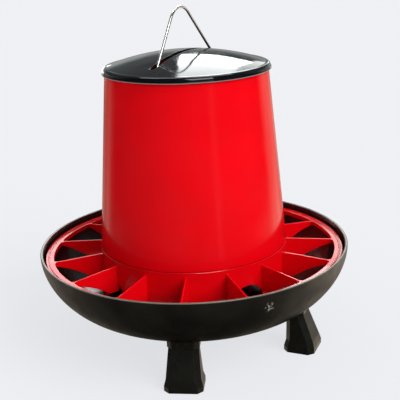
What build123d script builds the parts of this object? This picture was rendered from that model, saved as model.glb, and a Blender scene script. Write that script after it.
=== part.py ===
from build123d import *
import math
import os

# Poultry feeder on legs: a hopper stands on a slotted grill in a round pan.
# Millimetres, +Z up, origin on the floor under the middle of the pan.
# Azimuths are in degrees from the front (-Y) towards the right (+X).

# Heights that the pieces share
leg_height = 47.0           # floor to the underside of the pan
pan_depth = 71.0            # underside of the pan to its rim

# Pan
pan_radius = 180.0
pan_floor_margin = 1.0      # flat part of the underside beyond the grill's collar
pan_wall = 2.2
pan_fullness = 0.49         # how far the bowl's side bulges, as a share of a quarter turn
rim_width = 3.2
rim_height = 5.0
rim_round = 1.0
cone_radius = 84.0          # feed-spreading cone in the middle of the pan
cone_height = 38.0
rib_height = 5.0            # ring that centres the grill's collar
rib_width = 2.0

# Leg sockets under the pan
boss_margin = 1.2           # beyond the top of the leg all round
boss_drop = 1.5             # below the underside of the pan
socket_depth = 11.0
socket_wall = 2.0
socket_clearance = 0.25

# Legs
front_leg_azimuth = -6.5
right_leg_azimuth = 66.8
back_leg_azimuth = 210.0
leg_inset = 8.0             # upright inner face of every leg beyond the grill's collar
leg_top_depth = 19.5
leg_top_width = 33.0
leg_ankle_depth = 32.0
leg_ankle_width = 38.5
leg_ankle_height = 13.0
leg_sole_height = 5.5
leg_flare = 2.0             # how far the sole stands out all round
leg_chamfer = 6.0
leg_wall = 2.2
spigot_inset = 1.5
spigot_play = 0.5           # left above the spigot in its socket

# Grill
fin_count = 15
fin_azimuth = -5.0          # azimuth of one fin
fin_thickness = 2.0
fin_top_drop = 2.9          # below the pan's rim, at the collar
fin_root_depth = 30.0       # height of a fin at the collar
fin_root_width = 11.5       # straight part of its lower edge, beside the collar
fin_arch_bow = 3.0          # hollow of its lower edge, from there to the ring
fin_top_round = 0.6
ring_drop = 7.0             # top of the ring below the pan's rim
ring_gap = 3.8              # from the ring to the pan's wall
ring_width = 9.2
ring_thickness = 2.0
ring_inner_lip = 5.0
ring_outer_lip = 3.6
ring_lip_thickness = 1.8
ring_bead_height = 0.7
ring_bead_width = 1.4
ring_corner_radius = 5.0    # between a fin and the ring
collar_rise = 2.7           # top of the collar above the pan's rim
window_count = 4
window_azimuth = 32.0
window_radius = 22.0        # round top of each feed window
window_top_drop = 21.5      # below the pan's rim

# Hopper
hopper_base_radius = 109.0
hopper_top_radius = 91.2
hopper_height = 202.8
hopper_wall = 2.2
base_flange_height = 4.0
base_spigot_depth = 10.0
base_spigot_wall = 2.0
base_spigot_clearance = 0.3
lug_drop = 13.5             # top edge of the hopper to the hanger's end
lug_width = 10.0
lug_height = 10.0
lug_reach = 10.5
lug_bore_clearance = 0.3

# Lid
lid_overhang = 3.4          # lip beyond the hopper's top edge
lid_lip_height = 1.2
lid_lip_width = 0.8
lid_skirt_height = 3.0      # lower edge of the lid to the hopper's top edge
lid_skirt_clearance = 0.4
lid_shoulder_rise = 3.6     # hopper's top edge to the crease round the dome
lid_shoulder_inset = 6.0    # crease inside the lip
lid_dome_rise = 14.6
lid_wall = 2.0
slot_end_margin = 14.6      # from the crease to each end of the slot
slot_width = 7.0

# Hanger
hanger_azimuth = 150.9      # azimuth of its far leg
hanger_wire = 3.0
hanger_rise = 79.3          # corner of the bent wire above the hopper's top edge
hanger_lean = -12.5         # that corner off the middle, towards the near leg
hanger_knee = 4.2           # bend in the far leg, from the line of its upright end
hanger_knee_drop = 1.7      # that bend below the hopper's top edge
hanger_top_bend = 25.0
hanger_knee_bend = 12.0
hanger_end_bend = 6.0
hanger_pin = 9.0            # length of wire inside each lug

# Places worked out from the sizes above
rim_z = leg_height + pan_depth
floor_z = leg_height + pan_wall
pan_inner_radius = pan_radius - pan_wall
collar_radius = hopper_base_radius
collar_inner_radius = collar_radius - hopper_wall
pan_floor_radius = collar_radius + pan_floor_margin
leg_azimuths = {
    "front_leg": front_leg_azimuth,
    "right_leg": right_leg_azimuth,
    "back_leg": back_leg_azimuth,
}
leg_inner_radius = collar_radius + leg_inset
leg_top_middle = leg_inner_radius + leg_top_depth / 2
boss_z = leg_height - boss_drop
socket_top_z = boss_z + socket_depth
ring_top_z = rim_z - ring_drop
ring_outer_radius = pan_inner_radius - ring_gap
ring_inner_radius = ring_outer_radius - ring_width
seam_z = rim_z + collar_rise
hopper_top_z = seam_z + hopper_height
lug_z = hopper_top_z - lug_drop
lid_bottom_z = hopper_top_z - lid_skirt_height
crease_z = hopper_top_z + lid_shoulder_rise
lid_lip_radius = hopper_top_radius + lid_overhang
crease_radius = lid_lip_radius - lid_shoulder_inset
slot_length = 2 * (crease_radius - slot_end_margin)
pitch = 360 / fin_count


def outline(edges):
    """Flat face inside a closed run of edges."""
    return make_face(Wire(edges))


def section(points):
    """Upright face with straight sides, from (radius, height) points."""
    return outline(Polyline(*[(r, 0, z) for r, z in points], close=True).edges())


def bowed_arc(start, end, bow):
    """Arc in an upright section that bows to the upper left of its chord."""
    (r0, _, z0), (r1, _, z1) = start, end
    share = bow / math.hypot(r1 - r0, z1 - z0)
    middle = ((r0 + r1) / 2 - share * (z1 - z0), 0, (z0 + z1) / 2 + share * (r1 - r0))
    return ThreePointArc(start, middle, end)


def turn(face):
    """Solid of revolution about the object's axis."""
    return revolve(face, Axis.Z)


def at_azimuth(shape, azimuth):
    """A shape that was built along +X, turned to its azimuth."""
    return Rot(0, 0, azimuth - 90) * shape


def hopper_radius(z):
    """Outer radius of the hopper's straight taper at a height."""
    share = (z - seam_z) / hopper_height
    return hopper_base_radius + share * (hopper_top_radius - hopper_base_radius)


# Pan

def bowl(radius, floor, cone_top):
    """Solid bowl with a round side, a flat floor and the cone's shape in its middle."""
    depth = rim_z - floor
    side = radius - pan_floor_radius
    rise = cone_top - floor
    wall = Bezier(
        (radius, 0, rim_z),
        (radius, 0, rim_z - pan_fullness * depth),
        (pan_floor_radius + pan_fullness * side, 0, floor),
        (pan_floor_radius, 0, floor),
    )
    cone = Bezier(
        (cone_radius, 0, floor),
        (cone_radius * 0.62, 0, floor + rise * 0.42),
        (cone_radius * 0.3, 0, cone_top),
        (0, 0, cone_top),
    )
    edges = [
        Line((0, 0, rim_z), (radius, 0, rim_z)),
        wall,
        Line((pan_floor_radius, 0, floor), (cone_radius, 0, floor)),
        cone,
        Line((0, 0, cone_top), (0, 0, rim_z)),
    ]
    return turn(outline(edges))


def chamfered(depth, width, cut):
    """Rectangle with cut corners."""
    return chamfer(Rectangle(depth, width).vertices(), cut)


def spigot_section(grown=0.0):
    """Section of a leg's spigot, or of its socket when it is grown by a clearance."""
    depth = leg_top_depth - 2 * spigot_inset + 2 * grown
    width = leg_top_width - 2 * spigot_inset + 2 * grown
    return chamfered(depth, width, leg_chamfer - spigot_inset)


def upright(sketch, x, bottom, top):
    """A flat section raised from one height to another, its middle at x."""
    return Pos(x, 0, bottom) * extrude(sketch, top - bottom)


def pan():
    body = bowl(pan_radius, leg_height, leg_height + cone_height)
    hollow = bowl(pan_inner_radius, floor_z, floor_z + cone_height)
    boss = upright(
        chamfered(leg_top_depth + 2 * boss_margin, leg_top_width + 2 * boss_margin, leg_chamfer),
        leg_top_middle, boss_z, socket_top_z,
    )
    pad = upright(
        spigot_section(socket_clearance + socket_wall),
        leg_top_middle, leg_height, socket_top_z + socket_wall,
    )
    socket = upright(spigot_section(socket_clearance), leg_top_middle, boss_z, socket_top_z)
    for azimuth in leg_azimuths.values():
        body += at_azimuth(boss, azimuth)
    body -= hollow
    for azimuth in leg_azimuths.values():
        body += at_azimuth(pad, azimuth)
    for azimuth in leg_azimuths.values():
        body -= at_azimuth(socket, azimuth)
    body += rim()
    top_edges = body.edges().filter_by(GeomType.CIRCLE).group_by(Axis.Z)[-1]
    return fillet(top_edges, rim_round) + rib()


def rim():
    """Thicker, rounded edge on the inside of the bowl's wall."""
    inner = pan_radius - rim_width
    lower = rim_z - rim_height
    edge = section([
        (pan_radius - pan_wall / 2, rim_z),
        (inner, rim_z),
        (inner, lower),
        (pan_radius - pan_wall / 2, lower - rim_width),
    ])
    return turn(edge)


def rib():
    """Low ring on the pan's floor that the grill's collar stands round."""
    outer = collar_inner_radius - base_spigot_clearance
    return turn(section([
        (outer, floor_z - pan_wall / 2),
        (outer, floor_z + rib_height),
        (outer - rib_width, floor_z + rib_height),
        (outer - rib_width, floor_z - pan_wall / 2),
    ]))


# Legs

def leg_slice(z, depth, width, grown, inset):
    """One level of a leg, whose inner face stays upright."""
    middle = leg_inner_radius + depth / 2
    change = 2 * (grown - inset)
    shape = chamfered(depth + change, width + change, leg_chamfer - inset / 2)
    return Pos(middle, 0, z) * shape


def leg_body(inset):
    """Faceted leg that widens to its sole, or its hollow when it is inset by the wall."""
    sole = (leg_ankle_depth, leg_ankle_width, leg_flare, inset)
    levels = [
        leg_slice(0, *sole),
        leg_slice(leg_sole_height, *sole),
        leg_slice(leg_ankle_height, leg_ankle_depth, leg_ankle_width, 0, inset),
        leg_slice(boss_z - inset, leg_top_depth, leg_top_width, 0, inset),
    ]
    return loft([level.face() for level in levels], ruled=True)


def leg(azimuth):
    spigot = upright(spigot_section(), leg_top_middle, boss_z, socket_top_z - spigot_play)
    shape = leg_body(0) + spigot - leg_body(leg_wall)
    return at_azimuth(shape, azimuth)


# Grill

def ring():
    """Channel-shaped ring with a bead near its outer edge."""
    inner, outer = ring_inner_radius, ring_outer_radius
    top, under = ring_top_z, ring_top_z - ring_thickness
    bead = outer - 2 * ring_bead_width
    return turn(section([
        (inner, top),
        (bead - ring_bead_width, top),
        (bead - ring_bead_width, top + ring_bead_height),
        (bead, top + ring_bead_height),
        (bead, top),
        (outer, top),
        (outer, top - ring_outer_lip),
        (outer - ring_lip_thickness, top - ring_outer_lip),
        (outer - ring_lip_thickness, under),
        (inner + ring_lip_thickness, under),
        (inner + ring_lip_thickness, top - ring_inner_lip),
        (inner, top - ring_inner_lip),
    ]))


def window():
    """Feed window: an arch with a half-round top that goes down to the pan's floor."""
    spring_z = rim_z - window_top_drop - window_radius
    reach = collar_radius + hopper_wall
    arch = Rot(0, 90, 0) * Cylinder(window_radius, reach, align=(Align.CENTER, Align.CENTER, Align.MIN))
    gap = Box(reach, 2 * window_radius, spring_z, align=(Align.MIN, Align.CENTER, Align.MIN))
    return Pos(0, 0, spring_z) * arch + gap


def collar():
    wall = turn(section([
        (collar_radius, floor_z),
        (collar_radius, seam_z),
        (collar_inner_radius, seam_z),
        (collar_inner_radius, floor_z),
    ]))
    for i in range(window_count):
        wall -= at_azimuth(window(), window_azimuth + i * 360 / window_count)
    return wall


def fin():
    """Upright fin from the collar to the ring, with a hollow lower edge."""
    inner = collar_radius - hopper_wall / 2
    outer = ring_inner_radius + ring_lip_thickness / 2
    top_z = rim_z - fin_top_drop
    root_z = top_z - fin_root_depth
    lip_z = ring_top_z - ring_inner_lip
    arch_end = (ring_inner_radius, 0, lip_z)
    arch_start = (collar_radius + fin_root_width, 0, root_z)
    straight = Polyline(
        arch_end, (outer, 0, lip_z), (outer, 0, ring_top_z), (ring_inner_radius, 0, ring_top_z),
        (inner, 0, top_z), (inner, 0, root_z), arch_start,
    )
    arch = bowed_arc(arch_start, arch_end, fin_arch_bow)
    plate = extrude(outline([*straight.edges(), arch]), fin_thickness / 2, both=True)
    slope = Axis((inner, 0, top_z), (ring_inner_radius - inner, 0, ring_top_z - top_z))
    return fillet(plate.edges().filter_by(slope), fin_top_round)


def ring_corner():
    """Flat web that rounds the two corners between a fin and the ring."""
    reach = ring_corner_radius
    aside = fin_thickness / 2 + reach
    web = upright(
        Rectangle(2 * reach, 2 * aside), ring_inner_radius, ring_top_z - ring_thickness, ring_top_z,
    )
    round_cut = Cylinder(reach, 4 * ring_thickness)
    for side in (-aside, aside):
        web -= Pos(ring_inner_radius - reach, side, ring_top_z) * round_cut
    return web


def grill():
    body = ring() + collar()
    for i in range(fin_count):
        azimuth = fin_azimuth + i * pitch
        body += at_azimuth(fin(), azimuth)
        body += at_azimuth(ring_corner(), azimuth)
    return body


# Hopper

def hopper_shell():
    base, top = hopper_base_radius, hopper_top_radius
    flange_top = seam_z + base_flange_height
    spigot_outer = collar_inner_radius - base_spigot_clearance
    spigot_inner = spigot_outer - base_spigot_wall
    return turn(section([
        (base, seam_z),
        (top, hopper_top_z),
        (top - hopper_wall, hopper_top_z),
        (hopper_radius(flange_top) - hopper_wall, flange_top),
        (spigot_inner, seam_z),
        (spigot_inner, seam_z - base_spigot_depth),
        (spigot_outer, seam_z - base_spigot_depth),
        (spigot_outer, seam_z),
    ]))


def lug_face():
    """Distance of the lugs' inner faces from the middle."""
    return hopper_radius(lug_z) - hopper_wall - lug_reach


def lug():
    """Block inside the hopper's wall with a blind hole for the hanger's end."""
    face_x = lug_face()
    low, high = lug_z - lug_height / 2, lug_z + lug_height / 2
    side = section([
        (face_x, low),
        (face_x, high),
        (hopper_radius(high) - hopper_wall / 2, high),
        (hopper_radius(low) - hopper_wall / 2, low),
    ])
    block = extrude(side, lug_width / 2, both=True)
    length = hanger_pin + 2 * lug_bore_clearance
    radius = hanger_wire / 2 + lug_bore_clearance
    bore = Pos(face_x + length / 2, 0, lug_z) * (Rot(0, 90, 0) * Cylinder(radius, length))
    return block - bore


def hopper():
    body = hopper_shell()
    for azimuth in (hanger_azimuth, hanger_azimuth + 180):
        body += at_azimuth(lug(), azimuth)
    return body


# Lid

def lid():
    lip, crease = lid_lip_radius, crease_radius
    lip_top = lid_bottom_z + lid_lip_height
    skirt = lip - lid_lip_width
    skirt_inner = hopper_radius(lid_bottom_z) + lid_skirt_clearance
    seat = hopper_top_radius - 2 * hopper_wall
    crown_z = crease_z + lid_dome_rise
    under_z = crease_z - lid_wall
    bulge = lid_shoulder_rise / 4
    shoulder_middle = ((skirt + crease) / 2 + bulge, 0, (hopper_top_z + crease_z) / 2 + bulge)
    shoulder = ThreePointArc((skirt, 0, hopper_top_z), shoulder_middle, (crease, 0, crease_z))
    edges = [
        Line((skirt_inner, 0, lid_bottom_z), (lip, 0, lid_bottom_z)),
        Line((lip, 0, lid_bottom_z), (lip, 0, lip_top)),
        Line((lip, 0, lip_top), (skirt, 0, lip_top)),
        Line((skirt, 0, lip_top), (skirt, 0, hopper_top_z)),
        shoulder,
        dome_arc(crease, crease_z, crown_z),
        Line((0, 0, crown_z), (0, 0, crown_z - lid_wall)),
        dome_arc(seat, under_z, crown_z - lid_wall),
        Line((seat, 0, under_z), (seat, 0, hopper_top_z)),
        Line((seat, 0, hopper_top_z), (skirt_inner, 0, hopper_top_z)),
        Line((skirt_inner, 0, hopper_top_z), (skirt_inner, 0, lid_bottom_z)),
    ]
    shell = turn(outline(edges))
    slot = upright(SlotOverall(slot_length, slot_width), 0, lid_bottom_z, crown_z + lid_wall)
    return shell - at_azimuth(slot, hanger_azimuth)


def dome_arc(radius, edge_z, crown_z):
    """Shallow round arc from the edge of a dome to its crown on the axis."""
    rise = crown_z - edge_z
    sphere = (radius ** 2 + rise ** 2) / (2 * rise)
    half = radius / 2
    middle_z = crown_z - sphere + math.sqrt(sphere ** 2 - half ** 2)
    return ThreePointArc((radius, 0, edge_z), (half, 0, middle_z), (0, 0, crown_z))


# Hanger

def hanger():
    """One bent wire: both ends lie in the lugs and the legs rise to a round top."""
    end_x = lug_face() + hanger_pin
    corner_x = lug_face() - hanger_end_bend / 2 - lug_bore_clearance
    points = [
        (-end_x, 0, lug_z),
        (-corner_x, 0, lug_z),
        (hanger_lean, 0, hopper_top_z + hanger_rise),
        (corner_x - hanger_knee, 0, hopper_top_z - hanger_knee_drop),
        (corner_x, 0, lug_z),
        (end_x, 0, lug_z),
    ]
    bends = [hanger_end_bend, hanger_top_bend, hanger_knee_bend, hanger_end_bend]
    path = FilletPolyline(*points, radius=bends)
    start = Plane(origin=path @ 0, z_dir=path % 0)
    wire = sweep(start * Circle(hanger_wire / 2), path=path)
    return at_azimuth(wire, hanger_azimuth)


def main():
    os.makedirs("parts", exist_ok=True)
    nodes = {"pan": pan(), "grill": grill(), "hopper": hopper(), "lid": lid(), "hanger": hanger()}
    for name, azimuth in leg_azimuths.items():
        nodes[name] = leg(azimuth)
    for name, shape in nodes.items():
        export_step(shape, f"parts/{name}.step")


main()
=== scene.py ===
import math

import bpy
from mathutils import Matrix, Vector

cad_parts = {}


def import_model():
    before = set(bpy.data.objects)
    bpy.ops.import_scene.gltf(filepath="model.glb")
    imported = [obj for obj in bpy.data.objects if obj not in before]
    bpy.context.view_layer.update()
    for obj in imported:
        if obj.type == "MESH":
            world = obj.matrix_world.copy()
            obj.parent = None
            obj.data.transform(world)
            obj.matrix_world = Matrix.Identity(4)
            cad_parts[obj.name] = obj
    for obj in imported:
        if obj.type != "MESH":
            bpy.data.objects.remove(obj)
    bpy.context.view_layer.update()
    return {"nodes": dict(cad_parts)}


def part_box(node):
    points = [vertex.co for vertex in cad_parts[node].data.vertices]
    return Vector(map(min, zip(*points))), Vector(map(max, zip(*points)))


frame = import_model()
nodes = frame["nodes"]

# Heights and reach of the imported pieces, in metres
rim_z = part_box("pan")[1].z
pan_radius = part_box("pan")[1].x
seam_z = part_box("grill")[1].z
hopper_top_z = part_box("hopper")[1].z
lid_bottom_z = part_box("lid")[0].z
middle = Vector((0, 0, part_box("hopper")[0].z))

# Camera at the photograph's angle, in metres and degrees
camera_distance = 0.99173
camera_elevation = 17.79
camera_roll = -2.338
camera_target = Vector((0.00918, 0, 0.16698))
camera_focal = 76.36        # mm on a 36 mm wide sensor

# Backdrop
pale = (0.879, 0.888, 0.922, 1)
lit_pale = (0.80, 0.81, 0.84, 1)
floor_radius = 9.0
shadow_share = 0.2          # how much of the floor's look is lit, so that shadows show

# Light: headings are in degrees from the front (-Y) towards the right (+X)
key_heading, key_elevation, key_spread = 48, 35, 45
key_strength = 2.5
sky_spread = 150
sky_strength = 1.5

# Plastics, as linear colours
red = (0.88, 0.001, 0.006, 1)
deep_red = (0.80, 0.001, 0.005, 1)
pan_black = (0.006, 0.0055, 0.004, 1)
pan_brown = (0.013, 0.011, 0.007, 1)
# Pale brown of specks, scuffs and the highlight painted along the pan's rim
dust_and_highlight = (0.30, 0.27, 0.22, 1)
lid_black = (0.004, 0.005, 0.006, 1)
# Grey of the highlight painted along the lid's lower lip
lip_highlight_grey = (0.42, 0.42, 0.40, 1)
leg_black = (0.007, 0.007, 0.005, 1)
wire_grey = (0.88, 0.87, 0.84, 1)

# Scuff on the pan's side, to the right of the front
scuff_heading = 25.0
scuff_drop = 0.016          # below the rim
scuff_reach = 0.007


def add(tree, kind, inputs=None, **fields):
    """New shader node: inputs are values or links by socket name, fields are its settings."""
    made = tree.nodes.new("ShaderNode" + kind)
    for name, value in fields.items():
        setattr(made, name, value)
    for name, value in (inputs or {}).items():
        join(tree, value, made.inputs[name])
    return made


def join(tree, value, socket):
    """Link an output to a socket, or set the socket's own value."""
    if isinstance(value, bpy.types.NodeSocket):
        tree.links.new(value, socket)
    else:
        socket.default_value = value


def spot(tree, stretch=(1, 1, 1)):
    """Place on the object in metres, stretched along the three axes."""
    place = add(tree, "TexCoord").outputs["Object"]
    return add(tree, "Mapping", {"Vector": place, "Scale": stretch}).outputs["Vector"]


def noise(tree, per_metre, detail=2.0, stretch=(1, 1, 1)):
    """Cloudy pattern around 0.5, with so many blotches to the metre."""
    inputs = {"Vector": spot(tree, stretch), "Scale": per_metre, "Detail": detail}
    return add(tree, "TexNoise", inputs).outputs["Fac"]


def remap(tree, value, start, end, low=0.0, high=1.0):
    """The range from start to end becomes low to high, and holds beyond them."""
    inputs = {"Value": value, "From Min": start, "From Max": end, "To Min": low, "To Max": high}
    return add(tree, "MapRange", inputs).outputs["Result"]


def sums(tree, operation, first, second):
    made = add(tree, "Math", operation=operation)
    join(tree, first, made.inputs[0])
    join(tree, second, made.inputs[1])
    return made.outputs[0]


def blend(tree, share, first, second, blend_type="MIX"):
    """Second colour laid over the first by a share."""
    inputs = {"Fac": share, "Color1": first, "Color2": second}
    return add(tree, "MixRGB", inputs, blend_type=blend_type).outputs["Color"]


def between(tree, share, first, second):
    """Number that goes from first to second by a share."""
    made = add(tree, "Mix")
    for place, value in ((0, share), (2, first), (3, second)):
        join(tree, value, made.inputs[place])
    return made.outputs[0]


def relief(tree, height, depth, under=None):
    """Normal that makes a pattern from 0 to 1 look so many metres deep."""
    inputs = {"Height": height, "Distance": depth, "Strength": 1.0}
    if under:
        inputs["Normal"] = under
    return add(tree, "Bump", inputs).outputs["Normal"]


def soft_edges(tree, radius):
    """Normal that rounds the moulding's edges."""
    return add(tree, "Bevel", {"Radius": radius}, samples=6).outputs["Normal"]


def height(tree):
    """Height above the floor in metres."""
    return add(tree, "SeparateXYZ", {"Vector": spot(tree)}).outputs["Z"]


def new_material(name):
    made = bpy.data.materials.new(name)
    made.use_nodes = True
    return made, made.node_tree, made.node_tree.nodes["Principled BSDF"]


def dress(tree, shader, looks):
    """Give the shader its looks by socket name, as values or links."""
    for name, value in looks.items():
        join(tree, value, shader.inputs[name])


def red_plastic():
    """Glossy, faintly wavy red moulding with a little light in its thin walls."""
    made, tree, shader = new_material("red_plastic")
    clouds = noise(tree, 14, 3)
    streaks = noise(tree, 60, 2, stretch=(1, 1, 0.04))
    tone = blend(tree, remap(tree, clouds, 0.35, 0.7), deep_red, red)
    tone = blend(tree, remap(tree, streaks, 0.45, 0.75, 0, 0.12), tone, red)
    waves = noise(tree, 22, 1, stretch=(1, 1, 0.06))
    peel = noise(tree, 700, 2)
    normal = relief(tree, waves, 0.0009, soft_edges(tree, 0.0007))
    normal = relief(tree, peel, 0.00001, normal)
    normal = relief(tree, seam(tree), 0.0005, normal)
    dress(tree, shader, {
        "Base Color": tone,
        "Roughness": remap(tree, noise(tree, 45, 4), 0.3, 0.75, 0.10, 0.19),
        "Normal": normal,
    })
    shader.inputs["Subsurface Weight"].default_value = 0.25
    shader.inputs["Subsurface Radius"].default_value = (1.0, 0.04, 0.03)
    shader.inputs["Subsurface Scale"].default_value = 0.003
    return made


def seam(tree):
    """Groove where the hopper stands on the grill: 0 in it, 1 away from it."""
    off = sums(tree, "ABSOLUTE", sums(tree, "SUBTRACT", height(tree), seam_z), 0)
    return remap(tree, off, 0.0002, 0.0009)


def pan_plastic():
    """Satin olive-black plastic with mottling, a pale highlight painted along the rim's top and one pale
    scuff.
    """
    made, tree, shader = new_material("pan_plastic")
    mottle = noise(tree, 28, 5)
    tone = blend(tree, remap(tree, mottle, 0.35, 0.68), pan_black, pan_brown)
    grain = noise(tree, 900, 3)
    tone = blend(tree, remap(tree, grain, 0.62, 0.8, 0, 0.04), tone, dust_and_highlight)
    # Pale line painted along the rim's top: a painted highlight, not wear.
    rim_highlight = remap(tree, height(tree), rim_z - 0.0012, rim_z - 0.0002, 0, 0.55)
    tone = blend(tree, rim_highlight, tone, dust_and_highlight)
    tone = blend(tree, scuff(tree), tone, dust_and_highlight)
    normal = relief(tree, noise(tree, 35, 2), 0.0006, soft_edges(tree, 0.0008))
    normal = relief(tree, grain, 0.00004, normal)
    cloud = noise(tree, 60, 4)
    outer = remap(tree, cloud, 0.3, 0.7, 0.30, 0.44)
    inner = remap(tree, cloud, 0.3, 0.7, 0.12, 0.22)
    dress(tree, shader, {
        "Base Color": tone,
        "Roughness": blend(tree, inside(tree), outer, inner),
        "Normal": normal,
    })
    return made


def inside(tree):
    """1 where a face of the pan looks up, 0 where it looks down."""
    facing = add(tree, "SeparateXYZ", {"Vector": add(tree, "NewGeometry").outputs["Normal"]})
    return remap(tree, facing.outputs["Z"], -0.02, 0.02)


def scuff(tree):
    """Share of a small ragged scrape on the pan's outside."""
    turn = math.radians(scuff_heading)
    reach = pan_radius - 0.003
    centre = (reach * math.sin(turn), -reach * math.cos(turn), rim_z - scuff_drop)
    inputs = {0: spot(tree), 1: centre}
    away = add(tree, "VectorMath", operation="DISTANCE")
    for place, value in inputs.items():
        join(tree, value, away.inputs[place])
    near = remap(tree, away.outputs["Value"], scuff_reach, scuff_reach * 0.3)
    ragged = remap(tree, noise(tree, 260, 3), 0.50, 0.56)
    return sums(tree, "MULTIPLY", near, ragged)


def lid_plastic():
    """Polished black plastic with fine dust, hairline scratches and a grey highlight painted along its
    lower lip.
    """
    made, tree, shader = new_material("lid_plastic")
    specks = remap(tree, noise(tree, 1500, 2), 0.72, 0.8, 0, 0.25)
    tone = blend(tree, specks, lid_black, dust_and_highlight)
    # Grey line painted along the lid's lower lip: a painted highlight.
    lip_highlight = remap(tree, height(tree), lid_bottom_z + 0.0009, lid_bottom_z + 0.0003, 0, 0.8)
    tone = blend(tree, lip_highlight, tone, lip_highlight_grey)
    hairs = noise(tree, 240, 2, stretch=(1, 0.08, 1))
    normal = relief(tree, noise(tree, 30, 2), 0.0003, soft_edges(tree, 0.0008))
    normal = relief(tree, hairs, 0.000004, normal)
    dress(tree, shader, {
        "Base Color": tone,
        "Roughness": remap(tree, noise(tree, 50, 4), 0.35, 0.7, 0.05, 0.13),
        "Normal": normal,
    })
    return made


def leg_plastic():
    """Satin black plastic with a fine moulded grain."""
    made, tree, shader = new_material("leg_plastic")
    tone = blend(tree, remap(tree, noise(tree, 70, 4), 0.45, 0.75, 0, 0.6), leg_black, pan_brown)
    grain = noise(tree, 1100, 2)
    normal = relief(tree, grain, 0.00003, soft_edges(tree, 0.0012))
    dress(tree, shader, {
        "Base Color": tone,
        "Roughness": remap(tree, noise(tree, 90, 3), 0.3, 0.7, 0.26, 0.40),
        "Normal": normal,
    })
    return made


def steel_wire():
    """Bright drawn wire with dull spots."""
    made, tree, shader = new_material("steel_wire")
    spots = remap(tree, noise(tree, 420, 4), 0.52, 0.7)
    dress(tree, shader, {
        "Base Color": blend(tree, spots, wire_grey, (0.55, 0.53, 0.49, 1)),
        "Roughness": remap(tree, spots, 0, 1, 0.18, 0.42),
        "Normal": relief(tree, noise(tree, 900, 3), 0.00001),
    })
    shader.inputs["Metallic"].default_value = 1.0
    return made


def paint(obj, made):
    obj.data.materials.clear()
    obj.data.materials.append(made)


def camera():
    data = bpy.data.cameras.new("camera")
    data.lens = camera_focal
    data.sensor_width = 36
    seen = bpy.data.objects.new("camera", data)
    bpy.context.scene.collection.objects.link(seen)
    tilt = math.radians(camera_elevation)
    back = Vector((0, -math.cos(tilt), math.sin(tilt)))
    level = Matrix.Rotation(math.pi / 2 - tilt, 4, "X")
    roll = Matrix.Rotation(math.radians(camera_roll), 4, "Z")
    place = Matrix.Translation(camera_target + camera_distance * back)
    seen.matrix_world = place @ level @ roll
    bpy.context.scene.camera = seen


def floor():
    """Pale ground: even for the camera apart from soft shadows, and plain matt for light."""
    bpy.ops.mesh.primitive_circle_add(vertices=96, radius=floor_radius, fill_type="NGON")
    ground = bpy.context.object
    ground.name = "floor"
    ground.visible_glossy = False
    made, tree, shader = new_material("floor")
    shader.inputs["Base Color"].default_value = lit_pale
    shader.inputs["Roughness"].default_value = 1.0
    shader.inputs["Specular IOR Level"].default_value = 0
    even = add(tree, "Emission", {"Color": pale, "Strength": 1.0}).outputs[0]
    seen = add(tree, "LightPath").outputs["Is Camera Ray"]
    share = sums(tree, "MULTIPLY", seen, 1 - shadow_share)
    mix = add(tree, "MixShader", {"Fac": share})
    join(tree, shader.outputs[0], mix.inputs[1])
    join(tree, even, mix.inputs[2])
    join(tree, mix.outputs[0], tree.nodes["Material Output"].inputs["Surface"])
    paint(ground, made)


def away(heading, elevation, distance):
    """Place at a heading and elevation seen from the middle of the object."""
    turn, rise = math.radians(heading), math.radians(elevation)
    level = math.cos(rise)
    return middle + distance * Vector((level * math.sin(turn), -level * math.cos(turn), math.sin(rise)))


def panel(name, place, aim, size, brightness, colour=(1, 1, 1)):
    """Bright rectangle that shows only as a reflection."""
    data = bpy.data.lights.new(name, "AREA")
    data.shape = "RECTANGLE"
    data.size, data.size_y = size
    data.energy = brightness * math.pi * size[0] * size[1]
    data.color = colour
    lamp = bpy.data.objects.new(name, data)
    bpy.context.scene.collection.objects.link(lamp)
    lamp.location = place
    lamp.rotation_euler = (Vector(place) - Vector(aim)).to_track_quat("Z", "Y").to_euler()
    lamp.visible_camera = False
    lamp.visible_diffuse = False
    return lamp


def sun(name, heading, elevation, spread, strength):
    """Soft lamp at no distance, so that it lights the floor evenly."""
    data = bpy.data.lights.new(name, "SUN")
    data.energy = strength
    data.angle = math.radians(spread)
    lamp = bpy.data.objects.new(name, data)
    bpy.context.scene.collection.objects.link(lamp)
    towards = away(heading, elevation, 1) - middle
    lamp.rotation_euler = towards.to_track_quat("Z", "Y").to_euler()
    lamp.visible_camera = False
    lamp.visible_glossy = False


def ground(tree, sides):
    """Brightness of the ground by direction: dark in front and under the object."""
    behind = remap(tree, sides["Y"], -0.2, 0.1, 0.1, 1.0)
    left = remap(tree, sides["X"], 0, -0.7, 0.25, 0.5)
    right = remap(tree, sides["X"], 0, 0.7, 0, 0.9)
    under = remap(tree, sides["Z"], -0.9, -0.45, 0.03, 1.0)
    return sums(tree, "MULTIPLY", sums(tree, "MULTIPLY", behind, under), sums(tree, "ADD", left, right))


def horizon(tree, sides):
    """Brightness of the far ground by direction."""
    behind = remap(tree, sides["Y"], 0.35, 0.62, 0.02, 1.0)
    return sums(tree, "MULTIPLY", behind, remap(tree, sides["X"], -0.3, 0.3, 0.26, 0.5))


def sky(tree, sides):
    """Brightness above the horizon by direction: a light band with darker trees over it."""
    behind = remap(tree, sides["Y"], -0.1, 0.3, 0.1, 1.0)
    return sums(tree, "MULTIPLY", behind, remap(tree, sides["Z"], 0.12, 0.26, 0.6, 0.17))


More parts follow.
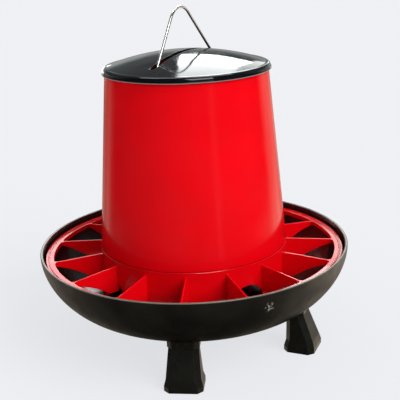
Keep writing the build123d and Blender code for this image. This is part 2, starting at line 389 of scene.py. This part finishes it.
def world():
    """Dim yard, brighter behind and to the right, with the pale backdrop for the camera."""
    made = bpy.data.worlds.new("world")
    made.use_nodes = True
    tree = made.node_tree
    look = add(tree, "TexCoord").outputs["Generated"]
    sides = add(tree, "SeparateXYZ", {"Vector": look}).outputs
    patches = add(tree, "TexNoise", {"Vector": look, "Scale": 4.0, "Detail": 3.0}).outputs["Fac"]
    level = between(tree, remap(tree, sides["Z"], -0.2, -0.35), horizon(tree, sides), ground(tree, sides))
    level = between(tree, remap(tree, sides["Z"], 0, 0.06), level, sky(tree, sides))
    level = sums(tree, "MULTIPLY", level, remap(tree, patches, 0.38, 0.62, 0.6, 1.4))
    low = remap(tree, sides["Z"], 0.05, -0.1)
    tint = blend(tree, low, (0.93, 1.0, 1.0, 1), (1.0, 0.86, 0.70, 1))
    yard = add(tree, "Background", {"Color": tint, "Strength": level}).outputs[0]
    backdrop = add(tree, "Background", {"Color": pale, "Strength": 1.0}).outputs[0]
    shown = add(tree, "MixShader", {"Fac": add(tree, "LightPath").outputs["Is Camera Ray"]})
    join(tree, yard, shown.inputs[1])
    join(tree, backdrop, shown.inputs[2])
    join(tree, shown.outputs[0], tree.nodes["World Output"].inputs["Surface"])
    bpy.context.scene.world = made


def lights():
    sun("key", key_heading, key_elevation, key_spread, key_strength)
    sun("sky", 0, 90, sky_spread, sky_strength)
    lid_middle = Vector((0, 0, hopper_top_z))
    panel("window_panel", away(173.8, 38.5, 2.3), lid_middle, (0.585, 1.2), 7.0, (0.95, 1.0, 1.0))
    panel("side_panel", away(164, 25, 2.3), lid_middle, (0.2, 1.2), 2.6, (0.93, 1.0, 0.96))
    panel("front_panel", away(21, 46, 2.0), middle, (1.0, 1.0), 5.0)
    panel("top_panel", away(180, 75, 2.0), lid_middle, (2.0, 0.25), 10.0)
    ring_left = Vector((-pan_radius, 0, rim_z))
    panel("low_panel", ring_left + Vector((-0.10, 0.50, 0.19)), ring_left, (0.22, 0.14), 3.0)
    panel("front_strip", away(32, -2, 2.0), middle, (0.22, 1.4), 0.15)


finishes = {
    "pan": pan_plastic(),
    "lid": lid_plastic(),
    "hanger": steel_wire(),
}
finishes["hopper"] = finishes["grill"] = red_plastic()
finishes["front_leg"] = finishes["right_leg"] = finishes["back_leg"] = leg_plastic()
for name, made in finishes.items():
    paint(nodes[name], made)

bpy.context.scene.view_settings.view_transform = "Standard"
floor()
camera()
world()
lights()
